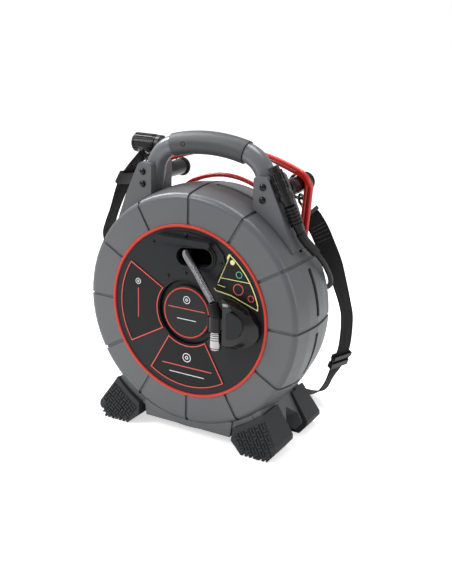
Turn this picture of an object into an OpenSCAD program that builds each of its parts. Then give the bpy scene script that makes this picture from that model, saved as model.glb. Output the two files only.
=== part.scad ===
// Push-cable inspection camera reel: a drum of push cable in a two-shell case, with a camera
// head docked on the front, a carry handle, rubber boots, cord posts and a shoulder strap.
// Modules draw in the drum's frame: x to the right, y up from the drum axis, z to the front,
// with z = 0 at the joint between the two shells. stand() puts that frame on its feet.

/* [Case] */
// Largest radius of the case, at the joint between the shells
case_r = 157; // [154:0.5:160]
// Depth of the case from front face to rear face
case_depth = 100; // [98:0.5:102]
// Radius of the flat part of each face
face_r = 144; // [143:0.5:145]
// Rounding radius of the case's shoulders
shoulder_r = 8; // [6:0.5:9]
// Wall thickness of both shells
wall = 4; // [3.5:0.25:5]
// Number of radial grooves
groove_count = 12; // [8:2:16]
// Width of a radial groove
groove_w = 4; // [2:0.5:5]
// Depth of a radial groove
groove_depth = 2.2; // [1:0.1:2.6]
// Half the angle that a parting-line slot spans
slot_half_angle = 11; // [6:0.5:12]
// Width of a parting-line slot
slot_w = 7.5; // [3:0.5:9]
// Height of the drum axis above the ground
axis_h = 171; // [170:0.5:176]

/* [Front plate] */
// Radius of the opening that the front plate fills
plate_hole_r = 110; // [109:0.5:111]
// Outer radius of the red trim ring
trim_r = 113.2; // [112:0.1:116]
// Radius of the recess round the hub cap
hub_recess_r = 42.5; // [41:0.5:43]
// Radius of the hub cap
hub_cap_r = 35.5; // [34:0.5:37]
// Half the length between the ends' centres of the cable exit
exit_half_l = 14; // [12:0.5:16]
// End radius of the cable exit
exit_r = 11.5; // [10:0.5:12]

/* [Drum] */
// Outer radius of the drum
drum_r = 130; // [126:0.5:131]
// Depth of the drum
drum_depth = 72; // [68:1:74]
// Radius of the drum cover's opening
drum_open_r = 94; // [92:0.5:95]
// Radius of the steel axle
axle_r = 6; // [5:0.5:7]
// Running clearance between axle and bushes
axle_gap = 0.03; // [0.02:0.01:0.08]
// Diameter of the push cable
push_cable_d = 6.3; // [5:0.1:7]

/* [Camera] */
// Diameter of the camera head
head_d = 14.5; // [13:0.1:15.5]
// Length of the camera head
head_l = 24; // [20:0.5:27]
// Diameter of the coupling sleeve
sleeve_d = 18; // [16:0.5:19]
// Diameter of the camera spring
spring_d = 9.8; // [8:0.1:11]
// Depth of the pad's travel
pad_travel = 2.5; // [1:0.1:3]

/* [Handle] */
// Height of the handle's centre line above the drum axis
handle_h = 206.5; // [204:0.5:212]
// Radius of the handle's bare ends
handle_r = 12.5; // [11:0.5:13]
// Radius of the rubber grip
grip_r = 14.6; // [13:0.2:16]

/* [Feet] */
// Angle of the legs below the horizontal
leg_angle = 57; // [55:0.5:60]
// Lean of the boots' outer faces
boot_lean = 10.5; // [8:0.5:12]
// Width of a notch in the boots' treads
notch_w = 3; // [2:0.25:4]

/* [Cords] */
// Diameter of the interconnect cord
cord_d = 6.2; // [6:0.1:6.4]
// Diameter of the pigtail lead
pigtail_d = 7; // [6:0.1:7.5]
// Width of the shoulder strap
strap_w = 25; // [20:1:27]
// Thickness of the shoulder strap
strap_t = 1.6; // [1.2:0.1:2]
// Radius of a cord post
post_r = 10.5; // [10:0.25:11]

/* [Hidden] */
$fn = 64;
eps = 0.1;
cut = 1;
fit = 0.15;

front_z = case_depth / 2;
rear_z = -front_z;
groove_step = 360 / groove_count;
slots_per_case = groove_count;

// Front plate and what stands on it
plate_t = 4;
plate_flange_r = plate_hole_r + 4;
trim_t = 2.2;
label_t = 0.5;
border_w = 1.2;
border_t = 0.9;
label_r0 = 43.6;
label_r1 = 101;
exit_c = [12, 75];
exit_tilt = 5;
guide_t = 2;
guide_rim = 4;
guide_rim_h = 3.4;
brow_h = 9;
guide_screw_places = [[-50, 85], [-2, 100], [-28, 44.4], [-2, 51.5], [48, 72]];
guide_points = [[-57, 83], [-50, 91], [-38, 97], [-20, 102.5], [0, 104], [22, 101.5], [40, 95.5],
    [51, 84], [54, 72], [42, 52], [31, 47.5], [-2, 45.5], [-30, 38.5], [-36, 44]];
hub_cap_h = 1.8;

// Drum, back to front
drum_back = rear_z + 9;
drum_front = drum_back + drum_depth;
drum_wall = 3;
hub_r = 20;
hub_flange_r = 46;
bush_r = 10;
bush_l = 12;
coil_r0 = 98;
coil_r1 = drum_r - drum_wall - 1;
coil_back = drum_back + drum_wall + 1;
coil_front = coil_back + 60;
slip_r = 34.8;
slip_z = rear_z + wall + 3.35;
brush_l = 12;
brush_w = 10;

// Camera head in its dock; the sleeve hangs along -y at this place
sleeve_x = 52;
sleeve_top = 11;
sleeve_l = 20;
sleeve_z = 68;
boot_top = [47.3, 26.5, sleeve_z];
spring_route = [[-5, 77, 43], [-2.5, 76.5, 50], [5, 72, 56.5], [16.5, 62.5, 60.8], [27, 51.5, 64],
    [36, 41, 66.4], [42.6, 33.6, 67.6], [46.6, 28, 68]];
lead_route = [[-91, -26, 6], [-92, -8, 9], [-89, 14, 14], [-82, 35, 20], [-70, 53, 27],
    [-53, 67, 32], [-36, 74, 35], [-20, 77, 37], [-10, 77.4, 38.6], [-6, 77.2, 41.2]];
dock_points = [[62.5, 27], [56, 31], [60, 32.5], [66, 30.8], [74, 28], [88, 22], [98, 13.5],
    [104.5, 3], [105, -9], [100, -19], [90, -26], [76, -29], [62.5, -27]];
dock_c = [66, 2];
dock_line = [[0, 0], [50, 0], [50, 1.5], [41, 6], [33, 13], [27, 20], [24, 22], [0, 22]];
dock_h = 22;
pad_points = [[71, 20], [75, 22], [88, 17.5], [91, 15], [94, 7], [93, 2], [88, -7], [84, -10],
    [74, -13], [71, -10]];
pad_c = [81, 4];
pad_gap = 3;
pad_t = 3;
front_reach = front_z + dock_h + pad_gap + pad_t;

// Handle: a shallow arch between two tighter bends, with straight legs into the ears
arch_r = 200;
arch_half = 15;
bend_r = 38;
leg_lean = 10;
leg_l = 26;
leg_r = handle_r + 0.3;
core_lap = 1;
core_r = 9;
bend_c = [arch_r * sin(arch_half) - bend_r * sin(arch_half),
    handle_h - arch_r + (arch_r - bend_r) * cos(arch_half)];
handle_end = bend_c + bend_r * [cos(leg_lean), sin(leg_lean)];
ear_front = 22;
ear_back = -26;
ear_points = [[73, 120], [73, 174], [75, 176], [90, 176.5], [93.5, 174], [112, 134], [128.5, 90]];
ear_screw_places = [[85.8, 149.5], [85.8, 165]];

// Cradle and boots: outlines at the right-hand side, seen from the front
boot_points = [[72, -137], [84, -124], [107, -108.5], [134.5, -151], [134.5, -157], [124, -axis_h],
    [87, -axis_h], [70.5, -156]];
leg_points = [[78, -112], [98, -98], [127.5, -151], [127.5, -155], [120, -165], [90, -165],
    [77.5, -153], [78, -139]];
boot_top_y = -110;
front_toe_z = 48.5;
front_heel_z = 8;
rear_toe_z = -68;
rear_heel_z = -35;
boot_skin = 6;
saddle_r = 167;
arch_points = [[saddle_r, -12], [186, 4], [260, 4], [260, -32], [183, -32]];
notch_depth = 2.4;
notch_pitch = 6;
skirt_half_w = 64;
skirt_y = -157.5;
skirt_d = 22;
tie_r = 159.5;

// Cord posts and cords behind the case
post_top = [93, 156];
post_low = [74, -104];
post_cap_r = 13;
post_cap_t = 7;
post_reach = 87;
rear_reach = post_reach;
y_shift = (front_reach - rear_reach) / 2;
hub_cover_r = 42;
hub_cover_t = 13;
gland_z = rear_z - 7;
gland_l = 16;
gland_angles = [40, 0];
cord_wrap_r = post_r + cord_d / 2 + 0.3;
coil_peak = 189;
coil_z0 = rear_z - 3.8;
coil_layers = 2;
coil_peak_d = coil_peak - post_top[1];
coil_arch_r = (post_top[0] ^ 2 + coil_peak_d ^ 2 - cord_wrap_r ^ 2)
    / (2 * (coil_peak_d - cord_wrap_r));
coil_arch_c = coil_peak - coil_arch_r;
lead_z = coil_z0 - 1.5 * cord_d - 0.4;
red_lead_start = [[44.6, 37.4, gland_z], [53.6, 45, gland_z], [63, 54, -60], [71, 67, lead_z],
    [75, 84, lead_z], [74, 102, lead_z], [62, 124, lead_z], [42, 141, lead_z], [14, 152.5, lead_z],
    [-18, 155.5, lead_z], [-50, 148.5, lead_z], [-74, 135, lead_z], [-87, 116, lead_z],
    [-91, 92, lead_z], [-90, 60, lead_z], [-88.5, 10, lead_z], [-88, -50, lead_z],
    [-88.1, -104, lead_z], [-84, -114, lead_z], [-74, -118.1, lead_z], [-40, -119, lead_z],
    [0, -119, lead_z], [40, -119, lead_z], [74, -118.1, lead_z], [84, -114, lead_z],
    [88.1, -104, lead_z], [91, -60, lead_z], [96, 10, lead_z], [101, 80, lead_z],
    [104.8, 130, lead_z]];
red_tail_end = [[-20, 193.2, -50.3], [-38, 192, -50.3], [-56, 190, -50.3], [-74, 188.5, -50]];
tail_z = -50.5;
plug_y = 188.5;
plug_z = -50;
plug_tip = -146;
plug_collar_l = 34;
plug_body_l = 48;
plug_r = 13;
rib_count = 20;

// Pigtail with its connector along the outer face of the right ear
chain_start = [98.5, 184.7, 17];
chain_bend = [117, 144.2, 11.5];
chain_end = [129, 111.5, 4];
ring_l = 25;
ring_r = 8.5;
chain_r = 7.2;
pigtail_route = [[129, 111.5, 4], [132, 105, 1], [136, 97, -4.5], [140, 89, -12], [143, 81, -20],
    [145.5, 71, -30], [147, 58, -42], [147, 44, -54], [143, 32, -64], [133, 24, -71],
    [117, 18, -73.5], [100, 11, -73.5], [86, 4.5, -70], [76, 1, -62], [67, 0, gland_z],
    [58.3, 0, gland_z]];

// Shoulder strap: from the left post, down behind the case, over the ground, up to the right post
strap_ring_r = 16;
left_ring = [-95.5, 158.5, -34];
right_ring = [93, 152.9, -68.8];
strap_route = [[-121.8, 176.8, -32], [-124, 172, -27.5], [-128.6, 164.5, -23],
    [-133.8, 156, -19.5], [-139.8, 145.5, -17.5], [-148.5, 128, -18.5], [-160.5, 103, -21.5],
    [-172, 81, -25.5], [-184, 60, -35], [-190, 40, -48], [-186, 8, -66], [-172, -30, -86],
    [-152, -70, -105], [-128, -104, -122], [-102, -136, -136], [-74, -158, -147],
    [-44, -168, -154], [-12, -169.8, -158], [22, -169.8, -159], [56, -169, -156],
    [88, -163, -147], [112, -147, -128], [130, -121, -113], [144.5, -90, -106], [153.5, -61.2, -102],
    [156.2, -24, -98], [152.7, 0.8, -95], [143.1, 35.4, -90], [136.9, 55.9, -85], [128, 77.2, -80],
    [119, 96.6, -77], [109.8, 109.5, -76.8], [103.2, 116.2, -76]];
strap_sides = [[0.15, 0.4, 0.9], [0.15, 0.4, 0.9], [0.14, 0.42, 0.9], [0.12, 0.44, 0.89],
    [0.08, 0.47, 0.88], [0.1, 0.48, 0.87], [0.2, 0.4, 0.89], [0.22, 0.39, 0.89],
    [0.25, 0.3, 0.92], [0.3, 0.1, 0.95], [0.3, 0.1, 0.95], [0.3, 0.1, 0.95], [0.35, 0, 1],
    [0.35, 0, 1], [0.35, 0, 1], [0.3, 0, 1], [0.15, 0, 1], [0.05, 0, 1], [0, 0, 1], [-0.1, 0, 1],
    [-0.2, 0.12, 0.95], [0, 0.22, 0.96], [0.1, 0.28, 0.94], [-0.27, 0.22, 0.94],
    [-0.27, 0.22, 0.94], [-0.27, 0.22, 0.94], [-0.27, 0.22, 0.94], [-0.45, 0.1, 0.88],
    [-0.6, 0.1, 0.75], [-0.75, 0, 0.6], [-0.87, 0, 0.49], [-0.87, 0, 0.49], [-0.87, 0, 0.49]];
slide_at = 4;
buckle_at = 23;

// ---- Frames and outlines ----

module stand() {
    translate([0, y_shift, axis_h]) rotate([90, 0, 0]) children();
}

module mirrored_pair() {
    children();
    mirror([1, 0, 0]) children();
}

// Points +x along a leg and centres y on it; side is 1 at the right, -1 at the left
module on_leg(side) {
    mirror([side < 0 ? 1 : 0, 0, 0]) rotate([0, 0, -leg_angle])
        children();
}

// Points +z along a direction, at a place
module aim(place, direction) {
    flat = norm([direction[0], direction[1]]);
    translate(place)
        rotate([0, atan2(flat, direction[2]), atan2(direction[1], direction[0])]) children();
}

// The case's outer line from the face to the shell joint, moved out by o
function case_line(o) = concat(
    [for (a = [0:15:90])
        [face_r + (shoulder_r + o) * sin(a), front_z - shoulder_r + (shoulder_r + o) * cos(a)]],
    [[case_r - 1.5 + o, front_z * 0.42], [case_r + o, 0]]);

function reversed(list) = [for (i = [len(list) - 1:-1:0]) list[i]];

// A wedge label outline: sides lean in by lean degrees from the inner arc to the outer arc
function wedge(mid, half0, half1, r0, r1) = concat(
    [for (i = [-6:6]) r1 * [cos(mid + half1 * i / 6), sin(mid + half1 * i / 6)]],
    [for (i = [6:-1:-6]) r0 * [cos(mid + half0 * i / 6), sin(mid + half0 * i / 6)]]);

// The three-cornered label at the upper right, drawn in by t
function corner_label(t) = concat(
    [for (a = [56.5 - t * 1.1:-4:12 + t * 1.1]) (104.5 - t) * [cos(a), sin(a)]],
    [[101 - t * 1.6, 20 + t * 1.1], [62, 33 + t * 0.9], [41 + t * 0.4, 35.5 + t],
        [36.5 + t, 41 + t * 0.4], [36 + t, 46]]);

module slot_shape(half_l, r) {
    translate([-half_l, 0]) circle(r);
    translate([half_l, 0]) circle(r);
    square([2 * half_l, 2 * r], center = true);
}

// A short rod with rounded rim, for screw heads and caps
module domed(r, h) {
    rotate_extrude() polygon(concat([[0, 0], [r, 0]],
        [for (a = [0:15:75]) [r * cos(a), h * (0.25 + 0.75 * sin(a))]], [[0, h]]));
}

// ---- Sweeps ----

function unit(v) = v / norm(v);
function across(n, t) = unit(n - (n * t) * t);
function heading(p, i) = unit(p[min(i + 1, len(p) - 1)] - p[max(i - 1, 0)]);
function blend4(a, b, c, d, t) = 0.5 * (2 * b + (c - a) * t + (2 * a - 5 * b + 4 * c - d) * t ^ 2
    + (3 * b - a - 3 * c + d) * t ^ 3);
function smooth(p, n) = concat(
    [for (i = [0:len(p) - 2], j = [0:n - 1])
        blend4(p[max(i - 1, 0)], p[i], p[i + 1], p[min(i + 2, len(p) - 1)], j / n)],
    [p[len(p) - 1]]);
function carried(p, first) = [for (i = 0, n = across(first, heading(p, 0)); i < len(p);
    i = i + 1, n = across(n, heading(p, min(i, len(p) - 1)))) n];

// Sweeps a closed outline along a path; sides gives the direction of the outline's x axis
module sweep(path, sides, outline) {
    rings = len(path);
    n = len(outline);
    points = [for (i = [0:rings - 1])
        let (t = heading(path, i), a = across(sides[i], t), b = cross(t, a))
        for (q = outline) path[i] + a * q[0] + b * q[1]];
    walls = [for (i = [0:rings - 2], k = [0:n - 1])
        let (l = (k + 1) % n)
        for (tri = [[i * n + k, (i + 1) * n + k, i * n + l],
            [i * n + l, (i + 1) * n + k, (i + 1) * n + l]]) tri];
    start_cap = [for (k = [0:n - 1]) k];
    end_cap = [for (k = [n - 1:-1:0]) (rings - 1) * n + k];
    polyhedron(points, concat([start_cap, end_cap], walls), convexity = 10);
}

module tube(path, r, sides, up = [0, 0, 1]) {
    sweep(path, carried(path, up), [for (k = [0:sides - 1])
        r * [cos(360 * k / sides), sin(360 * k / sides)]]);
}

// ---- Case ----

// The whole case as one solid, grown by o, for cutting what fits round it
module case_mass(o) {
    rotate_extrude() polygon(concat([[0, front_z + o]], case_line(o),
        reversed([for (q = case_line(o)) [q[0], -q[1]]]), [[0, rear_z - o]]));
}

module groove_bars() {
    intersection() {
        rotate_extrude() polygon(concat([[trim_r, front_z + cut]], case_line(cut),
            [[case_r + cut, -cut], [case_r - groove_depth, -cut]],
            reversed(case_line(-groove_depth)), [[trim_r, front_z - groove_depth]]));
        for (a = [0:groove_step:179]) rotate([0, 0, a])
            translate([-2 * case_r, -groove_w / 2, -2 * cut])
                cube([4 * case_r, groove_w, case_depth]);
    }
}

module parting_slots() {
    for (i = [0:slots_per_case - 1]) rotate([0, 0, (i + 0.5) * groove_step - slot_half_angle])
        rotate_extrude(angle = 2 * slot_half_angle)
            translate([case_r - 2.6, -slot_w / 2]) square([5, slot_w]);
}

module screw_places() {
    for (a = [15:60:359]) rotate([0, 0, a]) translate([face_r - 6.4, 0, 0]) children();
}

module shell_body(hole) {
    difference() {
        union() {
            rotate_extrude() polygon(concat([[hole, front_z]], case_line(0),
                [[case_r - wall, 0]], reversed(case_line(-wall)), [[hole, front_z - wall]]));
            screw_places() cylinder(r = 5, h = front_z - wall + eps);
        }
        groove_bars();
        parting_slots();
    }
}

module front_shell() {
    color("dimgray") difference() {
        shell_body(plate_hole_r);
        screw_places() translate([0, 0, -cut]) cylinder(r = 1.8, h = 25, $fn = 24);
    }
}

module rear_shell() {
    color("dimgray") difference() {
        mirror([0, 0, 1]) difference() {
            union() {
                shell_body(hub_cover_r - 6);
                translate([0, 0, front_z - wall - 3]) cylinder(r = hub_cover_r - 5, h = wall + 3);
            }
            translate([0, 0, front_z / 2]) cylinder(r = axle_r - 1 + fit, h = front_z);
            screw_places() translate([0, 0, -cut]) cylinder(r = 2.2, h = case_depth, $fn = 24);
            screw_places() translate([0, 0, front_z - 4]) cylinder(r = 4.2, h = 9, $fn = 24);
        }
        brush_place(eps);
    }
}

module case_screws() {
    color("black") screw_places() translate([0, 0, rear_z + 0.4]) {
        cylinder(r = 3.8, h = 3.5, $fn = 24);
        cylinder(r = 1.7, h = front_z + 18, $fn = 24);
    }
}

module trim_ring() {
    color("tomato") translate([0, 0, front_z]) rotate_extrude()
        polygon([[trim_r - 3.9, 0], [trim_r, 0], [trim_r, 1], [trim_r - 0.8, trim_t],
            [trim_r - 3.1, trim_t], [trim_r - 3.9, 1]]);
}

// ---- Front plate ----

module at_exit() {
    translate([exit_c[0], exit_c[1], 0]) rotate([0, 0, exit_tilt]) children();
}

module front_plate() {
    color("#3b3b3b") difference() {
        translate([0, 0, front_z - plate_t]) {
            cylinder(r = plate_hole_r - fit, h = plate_t, $fn = 128);
            translate([0, 0, -plate_t]) cylinder(r = plate_flange_r, h = plate_t - eps, $fn = 128);
            translate([0, 0, -eps - cut]) cylinder(r = plate_hole_r - 2, h = 2 * cut, $fn = 128);
        }
        translate([0, 0, front_z - 3 * plate_t]) cylinder(r = hub_recess_r, h = 4 * plate_t);
        at_exit() translate([0, 0, front_z - 3 * plate_t])
            linear_extrude(4 * plate_t) slot_shape(exit_half_l, exit_r + 2);
        for (q = guide_screw_places) translate([q[0], q[1], front_z - 3 * plate_t])
            cylinder(r = 1.6, h = 4 * plate_t, $fn = 24);
    }
}

module cable_guide() {
    color("#2f2f2f") difference() {
        union() {
            translate([0, 0, front_z]) linear_extrude(guide_t) polygon(guide_points);
            at_exit() translate([0, 0, front_z - 2 * plate_t])
                linear_extrude(2 * plate_t + guide_t + guide_rim_h)
                    slot_shape(exit_half_l, exit_r + 1.8);
            at_exit() translate([0, 0, front_z]) linear_extrude(guide_t + guide_rim_h - 1.4)
                slot_shape(exit_half_l, exit_r + guide_rim);
            translate([-3, 93.5, front_z]) linear_extrude(guide_t + brow_h)
                slot_shape(36, 3.6);
        }
        at_exit() translate([0, 0, front_z - 3 * plate_t])
            linear_extrude(8 * plate_t) slot_shape(exit_half_l, exit_r);
        for (q = guide_screw_places) translate([q[0], q[1], front_z - cut])
            cylinder(r = 1.6, h = 3 * cut + guide_t, $fn = 24);
    }
}

module guide_screws() {
    color("black") for (q = guide_screw_places) translate([q[0], q[1], front_z + guide_t]) {
        domed(2.6, 1.8, $fn = 32);
        translate([0, 0, -8]) cylinder(r = 1.45, h = 8, $fn = 24);
    }
}

module label_panels() {
    color("#262626") translate([0, 0, front_z]) {
        linear_extrude(label_t) polygon(wedge(180, 38, 33.5, label_r0, label_r1));
        linear_extrude(label_t) polygon(wedge(270, 37.5, 33.5, label_r0, label_r1));
        linear_extrude(label_t) difference() {
            polygon(corner_label(0));
            translate([exit_c[0], exit_c[1]]) circle(44);
        }
    }
}

module label_frame(mid) {
    linear_extrude(border_t) difference() {
        polygon(wedge(mid, 37.4, 33, label_r0 + 0.6, label_r1 - 0.6));
        polygon(wedge(mid, 35.6, 32.2, label_r0 + 0.6 + border_w, label_r1 - 0.6 - border_w));
    }
}

module label_borders() {
    color("tomato") translate([0, 0, front_z + label_t]) for (mid = [180, 270]) label_frame(mid);
}

module label_border_yellow() {
    color("khaki") translate([0, 0, front_z + label_t]) linear_extrude(border_t) difference() {
        polygon(corner_label(0.7));
        polygon(corner_label(0.7 + border_w));
        translate([exit_c[0], exit_c[1]]) circle(44.4);
    }
}

// ---- Drum ----

module hub_cap() {
    color("#2b2b2b") rotate_extrude($fn = 96) polygon([[0, front_z - 4], [hub_cap_r - 6, front_z - 4],
        [hub_cap_r, front_z - 1], [hub_cap_r, front_z + hub_cap_h - 2],
        [hub_cap_r - 0.7, front_z + hub_cap_h - 0.6], [hub_cap_r - 2.2, front_z + hub_cap_h],
        [0, front_z + hub_cap_h]]);
}

module hub_ring() {
    color("tomato") translate([0, 0, front_z + hub_cap_h]) rotate_extrude($fn = 96)
        translate([hub_cap_r - 4, 0]) square([1.6, 0.5]);
}

module drum_dish() {
    color("slategray") difference() {
        rotate_extrude($fn = 128) polygon([[hub_r + fit, drum_back], [drum_r, drum_back],
            [drum_r, drum_front - drum_wall - eps],
            [drum_r - drum_wall, drum_front - drum_wall - eps],
            [drum_r - drum_wall, drum_back + drum_wall], [hub_r + fit, drum_back + drum_wall]]);
        for (a = [0:60:359]) rotate([0, 0, a]) translate([72, 0, drum_back - cut])
            cylinder(r = 14, h = drum_wall + 2 * cut);
        for (a = [30:90:359]) rotate([0, 0, a]) translate([hub_flange_r - 7, 0, drum_back - cut])
            cylinder(r = 2.2, h = drum_wall + 2 * cut, $fn = 24);
    }
}

module drum_cover() {
    color("lightslategray") rotate_extrude($fn = 128) polygon([[drum_open_r, drum_front],
        [drum_r, drum_front], [drum_r, drum_front - drum_wall],
        [drum_open_r + drum_wall, drum_front - drum_wall],
        [drum_open_r + drum_wall, drum_front - 3 * drum_wall],
        [drum_open_r, drum_front - 3 * drum_wall]]);
}

module drum_screws() {
    color("silver") for (a = [30:90:359]) rotate([0, 0, a])
        translate([hub_flange_r - 7, 0, drum_back - 1.3]) {
            cylinder(r = 3.6, h = 1.3 - eps, $fn = 24);
            cylinder(r = 2, h = 2 * drum_wall + 1.5, $fn = 24);
        }
}

module drum_hub() {
    color("gray") difference() {
        rotate_extrude() polygon([[bush_r + fit, drum_back - 1], [hub_r, drum_back - 1],
            [hub_r, drum_back + drum_wall + eps], [hub_flange_r, drum_back + drum_wall + eps],
            [hub_flange_r, drum_back + 3 * drum_wall], [hub_r + 2, drum_back + 3.5 * drum_wall],
            [hub_r, drum_back + 5 * drum_wall], [hub_r, front_z - 10],
            [hub_recess_r - 1, front_z - 8], [hub_recess_r - 1, front_z - 5],
            [hub_cap_r - 6.2, front_z - 4.1], [bush_r + fit, front_z - 4.1]]);
        for (a = [30:90:359]) rotate([0, 0, a]) translate([hub_flange_r - 7, 0, drum_back])
            cylinder(r = 2.1, h = 2.6 * drum_wall, $fn = 24);
    }
}

module hub_bushes() {
    color("peru") for (z = [drum_back - 1, front_z - 4.1 - bush_l]) translate([0, 0, z]) {
        difference() {
            cylinder(r = bush_r, h = bush_l);
            translate([0, 0, -cut]) cylinder(r = axle_r + axle_gap, h = bush_l + 2 * cut);
        }
    }
}

module drum_axle() {
    color("silver") {
        translate([0, 0, rear_z + wall + 3 + eps])
            cylinder(r = axle_r, h = case_depth - wall - 9 - eps);
        translate([0, 0, rear_z - 6]) cylinder(r = axle_r - 1, h = wall + 10);
    }
}

module axle_nut() {
    color("silver") translate([0, 0, rear_z - 5 - eps]) difference() {
        cylinder(r = 9, h = 5, $fn = 6);
        translate([0, 0, -cut]) cylinder(r = axle_r - 1 + fit / 2, h = 5 + 2 * cut);
    }
}

module slip_ring_rotor() {
    color("darkslategray") translate([0, 0, slip_z + 0.35]) difference() {
        cylinder(r = slip_r, h = 1.2);
        translate([0, 0, -cut]) cylinder(r = hub_r + 1, h = 5);
    }
}

module slip_ring_tracks() {
    color("gold") for (r = [24.5, 28.5, 32.5]) translate([0, 0, slip_z])
        difference() {
            cylinder(r = r + 1, h = 0.3);
            translate([0, 0, -cut]) cylinder(r = r - 1, h = 3);
        }
}

module brush_place(grow) {
    translate([-brush_w / 2 - grow, hub_r + 2.5 - grow, rear_z + wall])
        cube([brush_w + 2 * grow, brush_l + 2 * grow, 3 - 0.1 + 20 * grow]);
}

module brush_block() {
    color("saddlebrown") brush_place(0);
}

module push_cable_coil() {
    color("#202020") rotate_extrude($fn = 96) translate([coil_r0, coil_back])
        square([coil_r1 - coil_r0, coil_front - coil_back]);
}

module push_cable_lead() {
    color("#202020") tube(smooth(lead_route, 3), push_cable_d / 2, 10);
}

// ---- Camera and dock ----

module camera_spring() {
    color("silver") tube(smooth(spring_route, 3), spring_d / 2, 12);
}

module spring_boot() {
    direction = [sleeve_x, sleeve_top, sleeve_z] - boot_top;
    color("#1c1c1c") difference() {
        aim(boot_top, direction) rotate_extrude() polygon(concat([[0, 0]],
            [for (i = [0:6]) for (q = [[6 + i * 0.3, i * 2.2], [6.6 + i * 0.3, i * 2.2 + 0.4],
                [6.6 + i * 0.3, i * 2.2 + 1.3], [5.7 + i * 0.3, i * 2.2 + 1.6]]) q],
            [[8, norm(direction) + 3], [0, norm(direction) + 3]]));
        along_sleeve() translate([0, 0, 0.3]) cylinder(r = 20, h = 20);
    }
}

module along_sleeve() {
    translate([sleeve_x, sleeve_top, sleeve_z]) rotate([90, 0, 0]) children();
}

module camera_sleeve() {
    color("#161616") along_sleeve() rotate_extrude() polygon([[0, 0.4], [sleeve_d / 2 - 1.2, 0.4],
        [sleeve_d / 2, 1.6], [sleeve_d / 2, sleeve_l - 1.2], [sleeve_d / 2 - 1.2, sleeve_l],
        [0, sleeve_l]]);
}

module camera_head() {
    color("gainsboro") along_sleeve() translate([0, 0, sleeve_l + eps]) difference() {
        rotate_extrude() polygon([[0, 0], [head_d / 2 - 0.8, 0], [head_d / 2 - 0.8, 1.6],
            [head_d / 2, 2.2], [head_d / 2, head_l - 3], [head_d / 2 - 0.6, head_l - 1.2],
            [head_d / 2 - 1.8, head_l], [0, head_l]]);
        translate([0, 0, head_l - 2.4]) cylinder(r = head_d / 2 - 2.4, h = 4);
    }
}

module camera_window() {
    color("lightblue") along_sleeve() translate([0, 0, sleeve_l + head_l - 2])
        cylinder(r = 2.4, h = 1.6, $fn = 32);
}

module camera_light_ring() {
    color("white") along_sleeve() translate([0, 0, sleeve_l + head_l - 2]) difference() {
        cylinder(r = head_d / 2 - 2.5, h = 1.3);
        translate([0, 0, -cut]) cylinder(r = 2.5, h = 4, $fn = 32);
    }
}

module camera_dock() {
    color("#191919") translate([0, 0, front_z]) difference() {
        intersection() {
            linear_extrude(dock_h) polygon(dock_points);
            translate([dock_c[0], dock_c[1], 0]) rotate_extrude() polygon(dock_line);
        }
        translate([pad_c[0], pad_c[1], 4]) cylinder(r = 4 + axle_gap, h = dock_h);
        translate([sleeve_x, sleeve_top - 2 + eps, sleeve_z - front_z]) rotate([90, 0, 0])
            cylinder(r = sleeve_d / 2 + 2.6 + eps, h = 13 + 2 * eps);
    }
}

module dock_clip() {
    color("#191919") {
        translate([sleeve_x, sleeve_top - 2, sleeve_z]) rotate([90, 0, 0]) difference() {
            cylinder(r = sleeve_d / 2 + 2.6, h = 13);
            translate([0, 0, -cut]) cylinder(r = sleeve_d / 2 + fit, h = 15);
            translate([-15, 3.5, -cut]) cube([30, 30, 15]);
        }
        translate([sleeve_x - 14, sleeve_top - 15, front_z]) difference() {
            cube([24.5, 13, 10]);
            translate([14, 14, sleeve_z - front_z]) rotate([90, 0, 0])
                cylinder(r = sleeve_d / 2 + fit, h = 15);
        }
    }
}

module dock_pad() {
    color("#2c2c2c") {
        translate([0, 0, front_z + dock_h + pad_gap]) linear_extrude(pad_t) polygon(pad_points);
        translate([pad_c[0], pad_c[1], front_z + 4 + pad_travel + 0.5])
            cylinder(r = 4, h = dock_h - 4 - pad_travel + pad_gap);
    }
}

// ---- Handle and ears ----

module handle_leg(r) {
    translate([handle_end[0], handle_end[1], 0]) rotate([0, 0, leg_lean]) rotate([90, 0, 0])
        translate([0, 0, -core_lap]) cylinder(r = r, h = leg_l + core_lap);
}

module ear_screw_holes(r) {
    for (q = ear_screw_places) translate([q[0], q[1], 3]) cylinder(r = r, h = 30, $fn = 24);
}

module handle() {
    color("darkgray") difference() {
        union() {
            translate([0, handle_h - arch_r, 0]) rotate([0, 0, 90 - arch_half - core_lap])
                rotate_extrude(angle = 2 * (arch_half + core_lap)) translate([arch_r, 0])
                    circle(core_r);
            mirrored_pair() {
                translate([bend_c[0], bend_c[1], 0]) rotate([0, 0, leg_lean])
                    rotate_extrude(angle = 90 - arch_half - leg_lean)
                        translate([bend_r, 0]) circle(handle_r);
                handle_leg(leg_r);
            }
        }
        mirrored_pair() ear_screw_holes(2.1);
    }
}

module handle_grip() {
    color("#5a5a5a") translate([0, handle_h - arch_r, 0]) rotate([0, 0, 90 - arch_half + 0.1])
        rotate_extrude(angle = 2 * arch_half - 0.2) translate([arch_r, 0]) difference() {
            circle(grip_r);
            circle(core_r + 0.05);
        }
}

module ears() {
    color("dimgray") mirrored_pair() difference() {
        translate([0, 0, ear_back]) linear_extrude(ear_front - ear_back) polygon(ear_points);
        case_mass(fit);
        handle_leg(leg_r + fit);
        translate([handle_end[0], handle_end[1], 0]) rotate([0, 0, leg_lean])
            rotate([-90, 0, 0]) cylinder(r = leg_r + 1.5, h = 30);
        ear_screw_holes(2.1);
    }
}

module handle_screws() {
    color("black") mirrored_pair() for (q = ear_screw_places) translate([q[0], q[1], 0]) {
        translate([0, 0, ear_front]) domed(4.2, 3.2, $fn = 32);
        translate([0, 0, 6]) cylinder(r = 2, h = ear_front - 6, $fn = 24);
    }
}

// ---- Cradle and boots ----

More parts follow.
